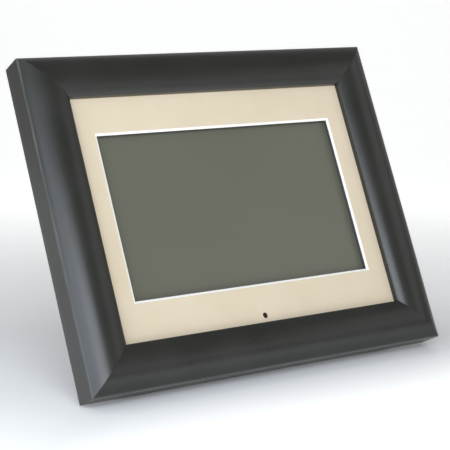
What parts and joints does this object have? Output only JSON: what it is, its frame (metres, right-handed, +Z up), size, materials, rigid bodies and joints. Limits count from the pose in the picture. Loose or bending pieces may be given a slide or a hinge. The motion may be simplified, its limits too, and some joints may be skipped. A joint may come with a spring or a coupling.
{
  "type": "digital photo frame",
  "caption": "Desktop digital photo frame: a mitred dark wooden moulding round a cream bevelled mat and a landscape screen, leaning back on a folding easel leg.",
  "frame": {"origin": "centre of the footprint of the whole object, on the table", "axes": "+X to the viewer's right, +Y from the screen side towards the back and the leg, +Z up"},
  "size_m": [0.227, 0.1222, 0.1731],
  "materials": {
    "painted_wood": "satin",
    "zinc_steel": "satin",
    "mat_card": "matte",
    "tinted_window": "gloss",
    "foam": "matte",
    "black_steel": "satin",
    "screen_glass": "satin",
    "film": "satin",
    "acrylic": "gloss",
    "lamp_strip": "satin",
    "chassis_plastic": "matte",
    "circuit_board": "satin",
    "chip_plastic": "matte",
    "connector_plastic": "matte",
    "ribbon_film": "satin",
    "speaker_cone": "matte",
    "cover_plastic": "matte",
    "key_plastic": "satin",
    "rubber": "matte"
  },
  "bodies": {
    "frame": {"rail_top": "painted_wood", "rail_bottom": "painted_wood", "rail_left": "painted_wood", "rail_right": "painted_wood", "corner_nail_top_left": "zinc_steel", "corner_nail_top_right": "zinc_steel", "corner_nail_bottom_left": "zinc_steel", "corner_nail_bottom_right": "zinc_steel", "lcd_back_tray": "zinc_steel", "board_screw_1": "zinc_steel", "board_screw_2": "zinc_steel", "cover_screw_1": "zinc_steel", "cover_screw_2": "zinc_steel", "cover_screw_3": "zinc_steel", "cover_screw_4": "zinc_steel", "bracket_screw_1": "zinc_steel", "bracket_screw_2": "zinc_steel", "hinge_pin": "zinc_steel", "dc_jack_pin": "zinc_steel", "card_socket": "zinc_steel", "usb_socket": "zinc_steel", "mat_board": "mat_card", "ir_window": "tinted_window", "screen_gasket": "foam", "lcd_bezel": "black_steel", "lcd_panel": "screen_glass", "optical_films": "film", "light_guide": "acrylic", "led_strip": "lamp_strip", "chassis": "chassis_plastic", "main_board": "circuit_board", "key_board": "circuit_board", "ir_board": "circuit_board", "processor_chip": "chip_plastic", "memory_chip": "chip_plastic", "power_inductor": "chip_plastic", "ir_receiver": "chip_plastic", "dc_jack": "chip_plastic", "switch_power": "chip_plastic", "switch_menu": "chip_plastic", "switch_previous": "chip_plastic", "switch_next": "chip_plastic", "switch_exit": "chip_plastic", "lcd_connector": "connector_plastic", "lcd_flex_cable": "ribbon_film", "ir_lead": "ribbon_film", "key_cable": "ribbon_film", "speaker_left": "speaker_cone", "speaker_right": "speaker_cone", "rear_cover": "cover_plastic", "leg_bracket": "cover_plastic", "foot_left": "rubber", "foot_right": "rubber"},
    "leg": {"easel_leg": "cover_plastic", "leg_foot_pad": "rubber"},
    "key_power": {"button_power": "key_plastic"},
    "key_menu": {"button_menu": "key_plastic"},
    "key_previous": {"button_previous": "key_plastic"},
    "key_next": {"button_next": "key_plastic"},
    "key_exit": {"button_exit": "key_plastic"}
  },
  "joints": [
    {"name": "leg_hinge", "type": "hinge", "parent": "frame", "child": "leg", "pos_m": [0, 0.02615, 0.10763], "axis": [1, 0, 0], "range_deg": [-44.5, 0]},
    {"name": "key_power_press", "type": "slide", "parent": "frame", "child": "key_power", "axis": [0, -0.8949, 0.4462], "range_m": [0, 0.0006], "stiffness_N_per_m": 200, "springref_m": -0.003},
    {"name": "key_menu_press", "type": "slide", "parent": "frame", "child": "key_menu", "axis": [0, -0.8949, 0.4462], "range_m": [0, 0.0006], "stiffness_N_per_m": 200, "springref_m": -0.003},
    {"name": "key_previous_press", "type": "slide", "parent": "frame", "child": "key_previous", "axis": [0, -0.8949, 0.4462], "range_m": [0, 0.0006], "stiffness_N_per_m": 200, "springref_m": -0.003},
    {"name": "key_next_press", "type": "slide", "parent": "frame", "child": "key_next", "axis": [0, -0.8949, 0.4462], "range_m": [0, 0.0006], "stiffness_N_per_m": 200, "springref_m": -0.003},
    {"name": "key_exit_press", "type": "slide", "parent": "frame", "child": "key_exit", "axis": [0, -0.8949, 0.4462], "range_m": [0, 0.0006], "stiffness_N_per_m": 200, "springref_m": -0.003}
  ]
}
